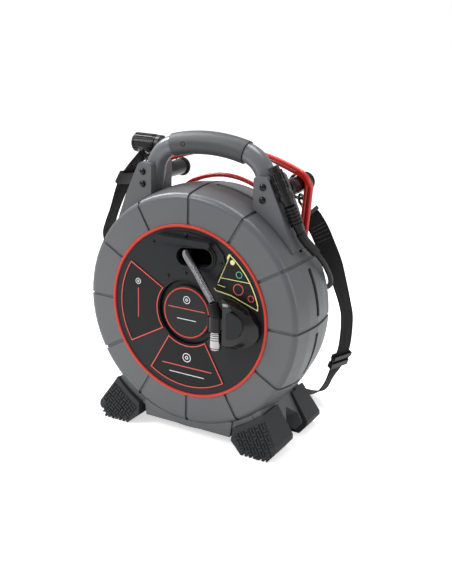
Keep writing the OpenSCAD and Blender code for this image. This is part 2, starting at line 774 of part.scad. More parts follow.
module slab(z0, z1) {
    translate([0, 0, z0]) linear_extrude(z1 - z0) children();
}

// A leg's arch-shaped gap, as wide as the leg
module leg_arch(side) {
    on_leg(side) rotate([90, 0, 0]) translate([0, 0, -60]) linear_extrude(120)
        polygon(arch_points);
}

module cradle() {
    color("dimgray") difference() {
        union() {
            for (side = [0, 1]) mirror([side, 0, 0])
                slab(rear_toe_z + boot_skin, front_toe_z - 3) polygon(leg_points);
            rotate([0, 0, -128]) rotate_extrude(angle = 76)
                translate([tie_r - 12, rear_z + 4]) square([12, case_depth - 8]);
            for (z = [front_z - 2 - skirt_d, rear_z + 2]) slab(z, z + skirt_d)
                polygon([[-skirt_half_w, skirt_y], [skirt_half_w, skirt_y],
                    [skirt_half_w + 3, -136], [-skirt_half_w - 3, -136]]);
        }
        case_mass(fit);
        for (side = [-1, 1]) leg_arch(side);
        slab(rear_z - 40, rear_z + 2) circle(153);
    }
}

// Cuts a row of n notches along +x from a boot's edge
module notches(place, turn, n) {
    translate(place) rotate([0, 0, turn]) for (i = [0:n - 1])
        translate([(i + 0.5) * notch_pitch - notch_w / 2, -notch_depth, -7])
            cube([notch_w, 2 * notch_depth, 14]);
}

// One right-hand boot, toe forward: from the heel plane to a leaning toe face, round a leg
module boot(toe_z, heel_z) {
    toe_low = toe_z + (axis_h + boot_top_y) * tan(boot_lean);
    difference() {
        slab(heel_z, toe_low + cut) polygon(boot_points);
        translate([0, boot_top_y, toe_z]) rotate([-boot_lean, 0, 0]) translate([0, -200, 0])
            cube([300, 400, 100]);
        slab(heel_z - cut, toe_z - 3) polygon(leg_points);
        slab(-100, 100) circle(case_r + 0.5);
        slab(rear_z + 4 - eps, front_z - 4 + eps) circle(tie_r + eps);
        notches([88, -axis_h, toe_low], 0, 6);
        notches([124.6, -170.2, toe_low - 1], 53.1, 2);
    }
}

module front_boots() {
    color("#444444") mirrored_pair() boot(front_toe_z, front_heel_z);
}

module rear_boots() {
    color("#444444") mirrored_pair() mirror([0, 0, 1]) boot(-rear_toe_z, -rear_heel_z);
}

// ---- Rear fittings ----

module post(length) {
    mirror([0, 0, 1]) {
        cylinder(r = post_r, h = length);
        translate([0, 0, length - post_cap_t]) rotate_extrude() polygon([[0, 0], [post_cap_r - 2, 0],
            [post_cap_r, 2], [post_cap_r, post_cap_t - 3], [post_cap_r - 0.9, post_cap_t - 0.9],
            [post_cap_r - 3, post_cap_t], [0, post_cap_t]]);
    }
}

module cord_posts() {
    color("#151515") mirrored_pair() {
        translate([post_top[0], post_top[1], ear_back]) post(post_reach + ear_back);
        translate([post_low[0], post_low[1], rear_z]) post(post_reach + rear_z);
    }
}

module rear_hub_cover() {
    color("#1d1d1d") translate([0, 0, rear_z]) mirror([0, 0, 1]) difference() {
        rotate_extrude() polygon([[0, 0], [hub_cover_r, 0], [hub_cover_r, hub_cover_t - 4],
            [hub_cover_r - 4, hub_cover_t], [0, hub_cover_t]]);
        translate([0, 0, -cut]) cylinder(r = 11, h = 8);
    }
}

module rear_glands() {
    color("black") for (a = gland_angles) rotate([0, 0, a])
        translate([hub_cover_r + 0.05, 0, gland_z]) rotate([0, 90, 0]) rotate_extrude()
            polygon([[0, 0], [6.2, 0], [6.2, 4], [5.2, 5], [4.6, gland_l], [0, gland_l]]);
}

// Where the top strands leave the posts, and the lean of the side strands, in degrees
tangent_a = asin(post_top[0] / (coil_arch_r - cord_wrap_r));
side_lean = atan2(post_top[0] - post_low[0], post_top[1] - post_low[1]);

// The top strand from the middle to where it meets the right post, moved out by o
function top_strand(o) = [for (i = [0:8]) [0, coil_arch_c]
    + (coil_arch_r + o) * [sin(tangent_a * i / 8), cos(tangent_a * i / 8)]];

// The bend over the right post, from the top strand to the side strand, moved out by o
function over_post(o) = [for (i = [1:4])
    let (a = 90 - tangent_a - (90 - tangent_a + side_lean) * i / 4)
        post_top + (cord_wrap_r + o) * [cos(a), sin(a)]];

// The wound cord's centre line, as a closed outline moved out by o
function wound(o) = let (side = concat(top_strand(o), over_post(o),
        [for (i = [0:5]) let (a = -side_lean - (90 - side_lean) * i / 5)
            post_low + (cord_wrap_r + o) * [cos(a), sin(a)]]))
    concat(side, reversed([for (q = side) [-q[0], q[1]]]));

// Both loose ends run beside the coil over the right post, one behind it and one before it
function beside_coil(o, z) = [for (q = reversed(concat(top_strand(o), over_post(o))))
    [q[0], q[1], z]];

module red_cord_lead() {
    color("crimson") tube(smooth(concat(red_lead_start, beside_coil(0, lead_z)), 2),
        cord_d / 2, 8);
}

module red_cord_coil() {
    color("crimson") slab(coil_z0 - cord_d, coil_z0) difference() {
        polygon(wound((coil_layers - 0.5) * cord_d));
        polygon(wound(-cord_d / 2));
    }
}

module red_cord_tail() {
    along_top = beside_coil(cord_d, tail_z);
    color("crimson") tube(smooth(concat([for (i = [2:len(along_top) - 1]) along_top[i]],
        red_tail_end), 2), cord_d / 2, 8);
}

module along_plug(x) {
    translate([x, plug_y, plug_z]) rotate([0, 90, 0]) children();
}

module plug_body() {
    color("#161616") along_plug(plug_tip + 6) rotate_extrude() polygon([[0, 0], [9.6, 0],
        [9.6, plug_collar_l - 4], [12.4, plug_collar_l - 4], [12.4, plug_body_l - 12],
        [9, plug_body_l - 8], [0, plug_body_l - 8]]);
}

module plug_collar() {
    color("#101010") along_plug(plug_tip) difference() {
        union() {
            rotate_extrude() polygon([[10, 0], [plug_r - 1.4, 0], [plug_r, 1.6], [plug_r, 3.4],
                [plug_r - 1.2, 4.2], [plug_r - 1.2, plug_collar_l], [10, plug_collar_l]]);
            for (i = [0:rib_count - 1]) rotate([0, 0, 360 * i / rib_count])
                translate([plug_r - 2, -0.9, 4]) cube([2, 1.8, plug_collar_l - 6]);
        }
        translate([0, 0, -cut]) cylinder(r = 10, h = plug_collar_l + 2 * cut);
    }
}

module plug_boot() {
    color("#141414") along_plug(plug_tip + plug_body_l - 2 + eps) rotate_extrude()
        polygon([[0, 0], [8, 0], [7, 4], [5, 20], [4.4, 24 - eps], [0, 24 - eps]]);
}

// ---- Pigtail ----

module on_chain(from) {
    direction = chain_bend - chain_start;
    aim(chain_start + unit(direction) * from, direction) children();
}

module on_chain_tail() {
    aim(chain_bend, chain_end - chain_bend) children();
}

module pigtail_socket() {
    color("#222222") on_chain(-6) cylinder(r = 6.5, h = 14);
}

module pigtail_ring() {
    color("#121212") on_chain(0) difference() {
        union() {
            cylinder(r = ring_r - 1, h = ring_l);
            for (z = [0, ring_l / 2 - 1.2, ring_l - 2.4]) translate([0, 0, z])
                cylinder(r = ring_r, h = 2.4);
            for (i = [0:15]) rotate([0, 0, 22.5 * i]) translate([ring_r - 1.6, -0.8, 1])
                cube([1.6, 1.6, ring_l - 2]);
        }
        translate([0, 0, -cut]) cylinder(r = 6.8, h = ring_l + 2 * cut);
    }
}

module pigtail_body() {
    length = norm(chain_bend - chain_start);
    color("#161616") on_chain(9) rotate_extrude() polygon([[0, 0], [6.4, 0], [6.4, ring_l - 8.7],
        [chain_r, ring_l - 8.7], [chain_r, length - 11], [chain_r - 1, length - 10],
        [0, length - 10]]);
}

module pigtail_clip() {
    color("#222222") on_chain(ring_l + 5) difference() {
        cylinder(r = 8.7, h = 7);
        translate([0, 0, -cut]) cylinder(r = chain_r + eps, h = 7 + 2 * cut);
    }
}

module pigtail_boot() {
    length = norm(chain_end - chain_bend);
    color("#161616") on_chain_tail() rotate_extrude()
        polygon(concat([[0, 0]], [for (i = [0:5]) for (q = [[5.8, i * 4.4], [7.6, i * 4.4 + 0.3],
            [7.4, i * 4.4 + 2.5], [5.8, i * 4.4 + 2.8]]) q],
            [[5.6, 27], [4.8, length - 0.2], [0, length - 0.2]]));
}

module pigtail() {
    color("#1a1a1a") tube(smooth(pigtail_route, 2), pigtail_d / 2, 8);
}

// ---- Strap ----

module strap() {
    half = strap_w / 2;
    edge = strap_t / 2;
    color("#1e1e1e") sweep(smooth(strap_route, 2), smooth(strap_sides, 2),
        [[-half, -edge / 2], [-half + 1, -edge], [half - 1, -edge], [half, -edge / 2],
            [half, edge / 2], [half - 1, edge], [-half + 1, edge], [-half, edge / 2]]);
}

// Puts x across the strap, y along it and z out of its face, at one of its route points
module on_strap(i) {
    t = heading(strap_route, i);
    a = across(strap_sides[i], t);
    n = cross(a, t);
    p = strap_route[i];
    multmatrix([[a[0], t[0], n[0], p[0]], [a[1], t[1], n[1], p[1]], [a[2], t[2], n[2], p[2]],
        [0, 0, 0, 1]]) children();
}

// A sleeve-like loop that the strap runs through, length l
module loop(l, rim, gap) {
    difference() {
        cube([strap_w + 2 * (rim + gap), l, strap_t + 2 * (rim + gap)], center = true);
        cube([strap_w + 2 * gap, l + cut, strap_t + 2 * gap], center = true);
    }
}

module wire_ring(r, wire) {
    rotate_extrude() translate([r, 0]) circle(wire, $fn = 24);
}

module strap_lugs() {
    color("#3a3a3a") for (place = [left_ring, right_ring]) translate(place)
        wire_ring(strap_ring_r, 1.9);
}

module snap_hook(place, lean, reach, tilt = 0) {
    translate(place) rotate([0, 0, lean]) rotate([tilt, 0, 0]) {
        rotate([0, 90, 0]) wire_ring(6.5, 1.8);
        translate([0, -7.5, 0]) rotate([90, 0, 0]) cylinder(r = 4.2, h = reach);
    }
}

module strap_hook() {
    last = len(strap_route) - 1;
    color("#606060") {
        snap_hook([95, 135.5, -68.8], 18, 10.5, 22);
        on_strap(last) loop(5, 1.6, 0.7);
        snap_hook([-108.3, 171.3, -34], -115, 5.5);
        on_strap(0) loop(5, 1.6, 0.7);
    }
}

module strap_slide() {
    color("#111111") on_strap(slide_at) loop(18, 1.2, 0.9);
}

module strap_buckle() {
    color("#181818") on_strap(buckle_at) {
        loop(9, 1.7, 1.2);
        translate([0, 14, 0]) loop(7, 1.2, 1.8);
        for (side = [-1, 1]) translate([side * (strap_w / 2 + 2.6), 7.5, 0])
            cube([2.2, 16, 3.4], center = true);
    }
}

stand() front_shell();
stand() rear_shell();
stand() case_screws();
stand() trim_ring();
stand() front_plate();
stand() cable_guide();
stand() guide_screws();
stand() label_panels();
stand() label_borders();
stand() label_border_yellow();
stand() hub_cap();
stand() hub_ring();
stand() drum_dish();
stand() drum_cover();
stand() drum_screws();
stand() drum_hub();
stand() hub_bushes();
stand() drum_axle();
stand() axle_nut();
stand() slip_ring_rotor();
stand() slip_ring_tracks();
stand() brush_block();
stand() push_cable_coil();
stand() push_cable_lead();
stand() camera_spring();
stand() spring_boot();
stand() camera_sleeve();
stand() camera_head();
stand() camera_window();
stand() camera_light_ring();
stand() camera_dock();
stand() dock_clip();
stand() dock_pad();
stand() handle();
stand() handle_grip();
stand() ears();
stand() handle_screws();
stand() cradle();
stand() front_boots();
stand() rear_boots();
stand() cord_posts();
stand() rear_hub_cover();
stand() rear_glands();
stand() red_cord_lead();
stand() red_cord_coil();
stand() red_cord_tail();
stand() plug_body();
stand() plug_collar();
stand() plug_boot();
stand() pigtail();
stand() pigtail_ring();
stand() pigtail_body();
stand() pigtail_boot();
stand() pigtail_socket();
stand() pigtail_clip();
stand() strap();
stand() strap_lugs();
stand() strap_hook();
stand() strap_slide();
stand() strap_buckle();
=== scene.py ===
import math

import bmesh
import bpy
from mathutils import Matrix, Vector


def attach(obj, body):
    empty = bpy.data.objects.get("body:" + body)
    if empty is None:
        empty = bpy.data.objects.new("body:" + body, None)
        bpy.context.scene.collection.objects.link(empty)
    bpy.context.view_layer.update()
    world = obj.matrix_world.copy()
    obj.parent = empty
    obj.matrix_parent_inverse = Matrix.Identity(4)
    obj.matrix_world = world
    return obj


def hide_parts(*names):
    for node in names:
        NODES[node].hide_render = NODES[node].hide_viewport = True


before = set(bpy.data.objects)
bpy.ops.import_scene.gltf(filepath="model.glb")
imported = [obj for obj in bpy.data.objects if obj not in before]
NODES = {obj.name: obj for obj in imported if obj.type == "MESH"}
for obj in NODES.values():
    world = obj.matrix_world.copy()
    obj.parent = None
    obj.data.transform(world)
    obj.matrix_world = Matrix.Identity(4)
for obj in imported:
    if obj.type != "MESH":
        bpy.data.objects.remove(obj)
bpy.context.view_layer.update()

AXIS_H = 171.0  # mm from the ground to the drum's axis
SHIFT = -4.5  # mm from the box's middle to the joint between the shells
FRONT_Z = 50.0  # mm from that joint to the front face


# ---- Places: the CAD's own frame, in mm, to the shared frame, in metres ----

def place(p):
    """A place in the CAD's frame as one in the shared frame."""
    return Vector((p[0], SHIFT - p[2], AXIS_H + p[1])) / 1000


def blend4(a, b, c, d, t):
    """The point a fraction t of the way from b to c, on a smooth curve through all four."""
    return 0.5 * (2 * b + (c - a) * t + (2 * a - 5 * b + 4 * c - d) * t ** 2
                  + (3 * b - a - 3 * c + d) * t ** 3)


def smooth(points, n):
    """Points on a smooth curve through the given ones, n for each span."""
    p = [Vector(q) for q in points]
    last = len(p) - 1
    out = []
    for i in range(last):
        for j in range(n):
            out.append(blend4(p[max(i - 1, 0)], p[i], p[i + 1], p[min(i + 2, last)], j / n))
    return out + [p[last]]


def even(points, step):
    """The same curve with its points a step apart."""
    gone = [0.0]
    for a, b in zip(points, points[1:]):
        gone.append(gone[-1] + (b - a).length)
    count = max(2, round(gone[-1] / step))
    out, i = [], 0
    for k in range(count + 1):
        want = gone[-1] * k / count
        while i < len(gone) - 2 and gone[i + 1] < want:
            i += 1
        span = gone[i + 1] - gone[i]
        out.append(points[i].lerp(points[i + 1], (want - gone[i]) / span if span else 0))
    return out


def length_of(points):
    return sum((b - a).length for a, b in zip(points, points[1:]))


def heading(p, i):
    """A line's direction at its point i."""
    return (p[min(i + 1, len(p) - 1)] - p[max(i - 1, 0)]).normalized()


def across(n, t):
    """A direction near n that is square to t."""
    return (n - n.dot(t) * t).normalized()


# ---- Making pieces ----

def mesh_piece(name, verts, faces, finish, body="case", rounded=True):
    mesh = bpy.data.meshes.new(name)
    mesh.from_pydata([tuple(v) for v in verts], [], faces)
    mesh.validate()
    mesh.update()
    if rounded:
        mesh.shade_smooth()
    mesh.materials.append(finish)
    piece = bpy.data.objects.new(name, mesh)
    bpy.context.scene.collection.objects.link(piece)
    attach(piece, body)
    return piece


def curve_piece(name, points, radius, finish):
    """A round cord on the case, along a line of places."""
    curve = bpy.data.curves.new(name, "CURVE")
    curve.dimensions = "3D"
    curve.bevel_depth = radius / 1000
    curve.bevel_resolution = 4
    curve.use_fill_caps = True
    spline = curve.splines.new("POLY")
    spline.points.add(len(points) - 1)
    for point, p in zip(spline.points, points):
        point.co = (*place(p), 1)
    spline.use_smooth = True
    curve.materials.append(finish)
    piece = bpy.data.objects.new(name, curve)
    bpy.context.scene.collection.objects.link(piece)
    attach(piece, "case")
    return piece


def fix_normals(piece):
    """Turns every face of a mesh piece outward."""
    work = bmesh.new()
    work.from_mesh(piece.data)
    bmesh.ops.recalc_face_normals(work, faces=work.faces)
    work.to_mesh(piece.data)
    work.free()


def swept(points, sides, outline):
    """Rings of an outline along a line; sides gives the outline's x direction at each point."""
    rings, n = len(points), len(outline)
    verts = []
    for i, p in enumerate(points):
        t = heading(points, i)
        a = across(sides[i], t)
        b = a.cross(t)
        verts += [place(p + a * q[0] - b * q[1]) for q in outline]
    faces = [(i * n + k, i * n + (k + 1) % n, (i + 1) * n + (k + 1) % n, (i + 1) * n + k)
             for i in range(rings - 1) for k in range(n)]
    faces += [tuple(range(n - 1, -1, -1)), tuple((rings - 1) * n + k for k in range(n))]
    return verts, faces


def ring_outline(radius, n):
    return [(radius * math.cos(2 * math.pi * k / n), radius * math.sin(2 * math.pi * k / n))
            for k in range(n)]


def carried(points, first):
    """Directions across a line, carried along it from the first without a twist."""
    sides, n = [], Vector(first)
    for i in range(len(points)):
        n = across(n, heading(points, i))
        sides.append(n)
    return sides


def prism(verts, faces, outline, low, high):
    """Adds a straight-sided block on an outline to a list of verts and faces."""
    start, n = len(verts), len(outline)
    verts += [place((q[0], q[1], z)) for z in (low, high) for q in outline]
    faces += [(start + k, start + (k + 1) % n, start + n + (k + 1) % n, start + n + k)
              for k in range(n)]
    faces += [tuple(start + k for k in range(n - 1, -1, -1)),
              tuple(start + n + k for k in range(n))]


# ---- Materials ----

def material(name, colour, rough, metal=0.0, coat=0.0, specular=0.5, sheen=0.0, grain=None,
             mottled=0.0, edge=0.0):
    """A surface: grain is (size in mm, depth in mm, distortion) of a fine texture, mottled how
    much its roughness and colour vary, and edge the radius in mm of its worn corners."""
    made = bpy.data.materials.new(name)
    made.use_nodes = True
    nodes, links = made.node_tree.nodes, made.node_tree.links
    shader = nodes["Principled BSDF"]
    shader.inputs["Base Color"].default_value = (*colour, 1)
    shader.inputs["Roughness"].default_value = rough
    shader.inputs["Metallic"].default_value = metal
    shader.inputs["Coat Weight"].default_value = coat
    shader.inputs["Coat Roughness"].default_value = 0.12
    shader.inputs["Specular IOR Level"].default_value = specular
    shader.inputs["Sheen Weight"].default_value = sheen
    shader.inputs["Sheen Roughness"].default_value = 0.4
    where = nodes.new("ShaderNodeTexCoord").outputs["Object"]
    if mottled:
        noise = nodes.new("ShaderNodeTexNoise")
        noise.inputs["Scale"].default_value = 55
        noise.inputs["Detail"].default_value = 5
        links.new(where, noise.inputs["Vector"])
        spread = nodes.new("ShaderNodeMapRange")
        spread.inputs["To Min"].default_value = max(0.02, rough - mottled)
        spread.inputs["To Max"].default_value = min(1, rough + mottled)
        links.new(noise.outputs["Fac"], spread.inputs["Value"])
        links.new(spread.outputs["Result"], shader.inputs["Roughness"])
        tone = nodes.new("ShaderNodeMix")
        tone.data_type = "RGBA"
        tone.inputs["A"].default_value = (*[c * (1 - mottled * 0.5) for c in colour], 1)
        tone.inputs["B"].default_value = (*[min(1, c * (1 + mottled * 0.5)) for c in colour], 1)
        links.new(noise.outputs["Fac"], tone.inputs["Factor"])
        links.new(tone.outputs["Result"], shader.inputs["Base Color"])
    corner = None
    if edge:
        corner = nodes.new("ShaderNodeBevel")
        corner.samples = 4
        corner.inputs["Radius"].default_value = edge / 1000
        links.new(corner.outputs["Normal"], shader.inputs["Normal"])
    if grain:
        size, depth, distortion = grain
        fine = nodes.new("ShaderNodeTexNoise")
        fine.inputs["Scale"].default_value = 1000 / size
        fine.inputs["Detail"].default_value = 2
        fine.inputs["Distortion"].default_value = distortion
        links.new(where, fine.inputs["Vector"])
        bump = nodes.new("ShaderNodeBump")
        bump.inputs["Distance"].default_value = depth / 1000
        links.new(fine.outputs["Fac"], bump.inputs["Height"])
        if corner:
            links.new(corner.outputs["Normal"], bump.inputs["Normal"])
        links.new(bump.outputs["Normal"], shader.inputs["Normal"])
    return made


def woven(name, colour, pitch):
    """Webbing: two families of fine threads that cross on the slant."""
    made = material(name, colour, 0.8, sheen=0.04, specular=0.2)
    nodes, links = made.node_tree.nodes, made.node_tree.links
    where = next(n for n in nodes if n.type == "TEX_COORD").outputs["Object"]
    threads = []
    for slant in (42, -42):
        lie = nodes.new("ShaderNodeMapping")
        lie.inputs["Rotation"].default_value = (math.radians(slant), math.radians(slant), 0)
        links.new(where, lie.inputs["Vector"])
        wave = nodes.new("ShaderNodeTexWave")
        wave.bands_direction = "DIAGONAL"
        wave.inputs["Scale"].default_value = 1000 / pitch / 3
        wave.inputs["Distortion"].default_value = 0.6
        links.new(lie.outputs["Vector"], wave.inputs["Vector"])
        threads.append(wave.outputs["Fac"])
    high = nodes.new("ShaderNodeMath")
    high.operation = "MAXIMUM"
    links.new(threads[0], high.inputs[0])
    links.new(threads[1], high.inputs[1])
    bump = nodes.new("ShaderNodeBump")
    bump.inputs["Distance"].default_value = 0.0004
    bump.inputs["Strength"].default_value = 0.8
    links.new(high.outputs[0], bump.inputs["Height"])
    links.new(bump.outputs["Normal"], nodes["Principled BSDF"].inputs["Normal"])
    return made


CASE = material("case_grey_plastic", (0.098, 0.101, 0.107), 0.34, grain=(1.1, 0.14, 0.4),
                mottled=0.06, edge=1.2)
PLATE = material("charcoal_plastic", (0.013, 0.0135, 0.015), 0.40, specular=0.22,
                 grain=(0.7, 0.06, 0.3), mottled=0.05, edge=0.5)
RED_TRIM = material("red_trim", (0.56, 0.045, 0.026), 0.35, specular=0.3, edge=0.4, mottled=0.03)
FILM = material("label_film", (0.007, 0.007, 0.008), 0.38, specular=0.2, mottled=0.04)
RED_INK = material("red_ink", (0.62, 0.075, 0.055), 0.35, mottled=0.03)
YELLOW_INK = material("yellow_ink", (0.78, 0.74, 0.28), 0.35, mottled=0.03)
GREEN_INK = material("green_ink", (0.10, 0.42, 0.25), 0.35, mottled=0.03)
PALE_INK = material("pale_ink", (0.72, 0.73, 0.75), 0.4, mottled=0.03)
BLACK = material("black_plastic", (0.010, 0.010, 0.011), 0.33, specular=0.3,
                 grain=(0.8, 0.04, 0.3), mottled=0.05, edge=0.4)
GLOSS_BLACK = material("smooth_black_plastic", (0.009, 0.009, 0.010), 0.2, specular=0.4,
                       mottled=0.04, edge=0.6)
DRUM_GREY = material("drum_plastic", (0.10, 0.10, 0.11), 0.5, mottled=0.08)
SCREW = material("black_screws", (0.03, 0.03, 0.033), 0.24, metal=1.0, mottled=0.05)
STEEL = material("turned_steel", (0.50, 0.50, 0.52), 0.3, metal=1.0, mottled=0.08)
BRIGHT = material("bright_stainless", (0.42, 0.42, 0.43), 0.22, metal=1.0, mottled=0.08)
GILT = material("gilded_tracks", (0.80, 0.55, 0.22), 0.25, metal=1.0, mottled=0.05)
BRONZE = material("sintered_bronze", (0.45, 0.30, 0.15), 0.45, metal=1.0, mottled=0.1)
BRUSH = material("brush_block", (0.09, 0.06, 0.045), 0.6, mottled=0.1)
CABLE = material("push_cable_sheath", (0.014, 0.014, 0.016), 0.3, mottled=0.06)
GLASS = material("camera_window", (0.05, 0.07, 0.09), 0.05, coat=1.0, mottled=0.02)
LIGHTS = material("light_ring", (0.80, 0.79, 0.70), 0.3, mottled=0.04)
HANDLE = material("handle_coating", (0.125, 0.130, 0.140), 0.30, coat=0.25, mottled=0.05,
                  edge=0.5)
GRIP = material("soft_grip", (0.050, 0.051, 0.055), 0.50, grain=(1.1, 0.22, 0.8), mottled=0.08)
BOOT = material("boot_rubber", (0.028, 0.029, 0.031), 0.52, specular=0.3, grain=(0.8, 0.08, 0.5),
                mottled=0.06, edge=0.6)
RUBBER = material("black_rubber", (0.010, 0.010, 0.011), 0.42, specular=0.25,
                  grain=(0.8, 0.05, 0.3), mottled=0.07, edge=0.3)
RED_CORD = material("red_cord_sheath", (0.62, 0.018, 0.014), 0.24, coat=0.4, mottled=0.05)
WEBBING = woven("black_webbing", (0.009, 0.009, 0.010), 1.1)
THREAD = material("strap_thread", (0.05, 0.05, 0.053), 0.7, sheen=0.2, mottled=0.1)
RING_STEEL = material("strap_ring_steel", (0.10, 0.10, 0.105), 0.3, metal=1.0, mottled=0.06)
SPRING_STEEL = material("spring_steel", (0.30, 0.30, 0.31), 0.27, metal=1.0, mottled=0.08)

FINISHES = {
    CASE: ("front_shell", "rear_shell", "ears", "cradle"),
    PLATE: ("front_plate", "cable_guide", "hub_cap", "drum_hub", "dock_pad"),
    RED_TRIM: ("trim_ring", "hub_ring"),
    FILM: ("label_panels",),
    RED_INK: ("label_borders",),
    YELLOW_INK: ("label_border_yellow",),
    BLACK: ("dock_clip", "camera_sleeve", "rear_hub_cover", "plug_body", "plug_collar",
            "pigtail_ring", "pigtail_body", "pigtail_socket", "pigtail_clip", "strap_slide",
            "strap_buckle"),
    GLOSS_BLACK: ("camera_dock", "cord_posts"),
    DRUM_GREY: ("drum_dish", "drum_cover", "slip_ring_rotor"),
    SCREW: ("case_screws", "guide_screws", "handle_screws"),
    STEEL: ("drum_screws", "drum_axle", "axle_nut"),
    RING_STEEL: ("strap_hook", "strap_lugs"),
    GILT: ("slip_ring_tracks",),
    BRONZE: ("hub_bushes",),
    BRUSH: ("brush_block",),
    BRIGHT: ("camera_head",),
    GLASS: ("camera_window",),
    LIGHTS: ("camera_light_ring",),
    HANDLE: ("handle",),
    GRIP: ("handle_grip",),
    BOOT: ("front_boots", "rear_boots"),
    RUBBER: ("spring_boot", "rear_glands", "plug_boot", "pigtail_boot"),
}
for finish, members in FINISHES.items():
    for member in members:
        for holder in NODES[member].material_slots:
            holder.material = finish


# ---- Camera ----

def make_camera():
    azimuth, elevation, roll = math.radians(29.09), math.radians(17.97), math.radians(1.388)
    target = Vector((27.06, -4.5, 189.41)) / 1000
    distance = 1.164
    back = Vector((math.sin(azimuth) * math.cos(elevation),
                   -math.cos(azimuth) * math.cos(elevation), math.sin(elevation)))
    right = Vector((math.cos(azimuth), math.sin(azimuth), 0))
    up = back.cross(right)
    right, up = (right * math.cos(roll) + up * math.sin(roll),
                 up * math.cos(roll) - right * math.sin(roll))
    data = bpy.data.cameras.new("camera")
    data.lens = 55.97
    data.clip_end = 200
    camera = bpy.data.objects.new("camera", data)
    bpy.context.scene.collection.objects.link(camera)
    columns = Matrix((right, up, back)).transposed().to_4x4()
    camera.matrix_world = Matrix.Translation(target + back * distance) @ columns
    bpy.context.scene.camera = camera


make_camera()


# ---- The red cord: one length from its gland, round the posts, to its plug ----

CORD_D = 6.2
POST_TOP, POST_LOW = Vector((93, 156)), Vector((74, -104))
POST_R = 10.5
POST_GAP, LAYER_GAP = 0.3, 0.4
WRAP_R = POST_R + CORD_D / 2 + POST_GAP
PEAK = 189.0  # the top of the inner turn's arch, above the drum's axis
PEAK_RISE = PEAK - POST_TOP.y
ARCH_R = (POST_TOP.x ** 2 + PEAK_RISE ** 2 - WRAP_R ** 2) / (2 * (PEAK_RISE - WRAP_R))
ARCH_C = PEAK - ARCH_R
TANGENT = math.asin(POST_TOP.x / (ARCH_R - WRAP_R))
LEAN = math.atan2(POST_TOP.x - POST_LOW.x, POST_TOP.y - POST_LOW.y)
COIL_FRONT = -53.8
COIL_Z = COIL_FRONT - CORD_D / 2
LEAD_Z = COIL_FRONT - 1.5 * CORD_D - LAYER_GAP
TAIL_Z = -50.5
GLAND_Z = -57.0

RED_START = [(44.6, 37.4, GLAND_Z), (53.6, 45, GLAND_Z), (63, 54, -60), (71, 67, LEAD_Z),
             (75, 84, LEAD_Z), (74, 102, LEAD_Z), (62, 124, LEAD_Z), (42, 141, LEAD_Z),
             (14, 152.5, LEAD_Z), (-18, 155.5, LEAD_Z), (-50, 148.5, LEAD_Z),
             (-74, 135, LEAD_Z), (-87, 116, LEAD_Z), (-91, 92, LEAD_Z), (-90, 60, LEAD_Z),
             (-88.5, 10, LEAD_Z), (-88, -50, LEAD_Z), (-88.1, -104, LEAD_Z),
             (-84, -114, LEAD_Z), (-74, -118.1, LEAD_Z), (-40, -119, LEAD_Z),
             (0, -119, LEAD_Z), (40, -119, LEAD_Z), (74, -118.1, LEAD_Z), (84, -114, LEAD_Z),
             (88.1, -104, LEAD_Z), (91, -60, LEAD_Z), (96, 10, LEAD_Z), (101, 80, LEAD_Z),
             (104.8, 130, LEAD_Z)]
RED_END = [(-20, 193.2, -50.3), (-38, 192, -50.3), (-56, 190, -50.3), (-74, 188.5, -50)]


def arc(centre, radius, start, end, count):
    return [(centre[0] + radius * math.cos(a), centre[1] + radius * math.sin(a))
            for a in (start + (end - start) * i / count for i in range(count + 1))]


def right_half(o):
    """The right half of one turn, from under the case up its side and over to the middle."""
    r, quarter = WRAP_R + o, math.pi / 2
    bend_low = arc(POST_LOW, r, -quarter, -LEAN, 6)
    bend_top = arc(POST_TOP, r, -LEAN, quarter - TANGENT, 6)
    top = arc((0, ARCH_C), ARCH_R + o, quarter - TANGENT, quarter, 10)
    low_run = [(x, POST_LOW.y - r) for x in (0, POST_LOW.x / 2)]
    a, b = Vector(bend_low[-1]), Vector(bend_top[0])
    side = [tuple(a.lerp(b, t / 7)) for t in range(1, 7)]
    return low_run, bend_low + side, bend_top, top


def turn_of(o):
    """A whole turn from the middle of the top, down the left side and back up the right."""
    low_run, up_side, bend_top, top = right_half(o)
    left = [(-x, y) for x, y in reversed(low_run + up_side + bend_top + top[1:])]
    return left[:-1], low_run + up_side, bend_top, top[1:]


def level(points, z):
    return [(x, y, z) for x, y in points]


def ramp(points, other, z0, z1, start=0.0, end=1.0):
    """Moves from one line to another like it, and from z0 to z1, between two fractions."""
    out = []
    for i, (p, q) in enumerate(zip(points, other)):
        t = (i / (len(points) - 1) - start) / (end - start)
        t = min(1, max(0, t))
        t = t * t * (3 - 2 * t)
        out.append((p[0] + (q[0] - p[0]) * t, p[1] + (q[1] - p[1]) * t, z0 + (z1 - z0) * t))
    return out


def red_route():
    inner, outer = turn_of(0), turn_of(CORD_D)
    route = list(RED_START)
    route += level(inner[2] + inner[3], LEAD_Z)
    left = inner[0]
    over = len(left) // 3
    route += ramp(left[1:over], left[1:over], LEAD_Z, COIL_Z, 0.0, 0.9)
    route += level(left[over:] + inner[1] + inner[2], COIL_Z)
    route += ramp(inner[3], outer[3], COIL_Z, COIL_Z, 0.1, 0.9)
    route += level(outer[0][1:] + outer[1][:-1], COIL_Z)
    route += ramp(outer[1][-1:] + outer[2], outer[1][-1:] + outer[2], COIL_Z, TAIL_Z, 0.0, 0.6)
    route += level(outer[3], TAIL_Z)
    return even(smooth(route + RED_END, 6), 2.5)


red_line = red_route()
red_cord = curve_piece("red_cord", red_line, CORD_D / 2, RED_CORD)
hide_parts("red_cord_lead", "red_cord_coil", "red_cord_tail")


# ---- The pigtail, from its connector to the other gland ----

